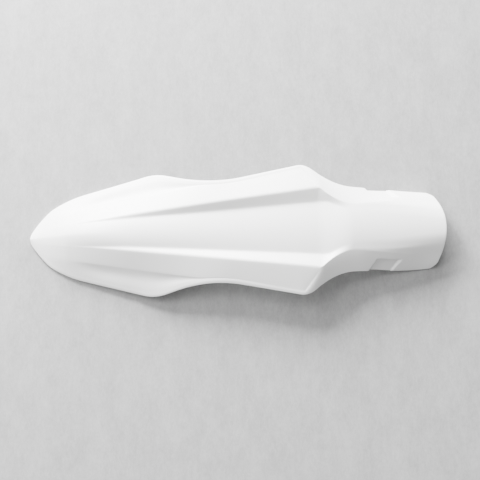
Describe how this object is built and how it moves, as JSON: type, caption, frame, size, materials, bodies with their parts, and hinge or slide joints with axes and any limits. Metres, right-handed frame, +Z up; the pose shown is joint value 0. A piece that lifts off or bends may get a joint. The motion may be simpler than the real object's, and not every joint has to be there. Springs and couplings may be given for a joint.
{
  "type": "motocross front fender",
  "caption": "One-piece moulded front fender, pointed at the nose, with side fins, raised ridges beside a crowned centre panel and a channelled tail with recessed clip seats.",
  "frame": {"origin": "on the plane that the rim stands on, under the middle of the fender's box", "axes": "+X runs from the nose to the tail, +Y is across to one side, +Z is up; the fender is symmetric about the XZ plane"},
  "size_m": [0.6498, 0.2062, 0.0463],
  "materials": {
    "shell": "satin moulded white"
  },
  "bodies": {
    "root": {"fender": "shell"}
  },
  "joints": []
}
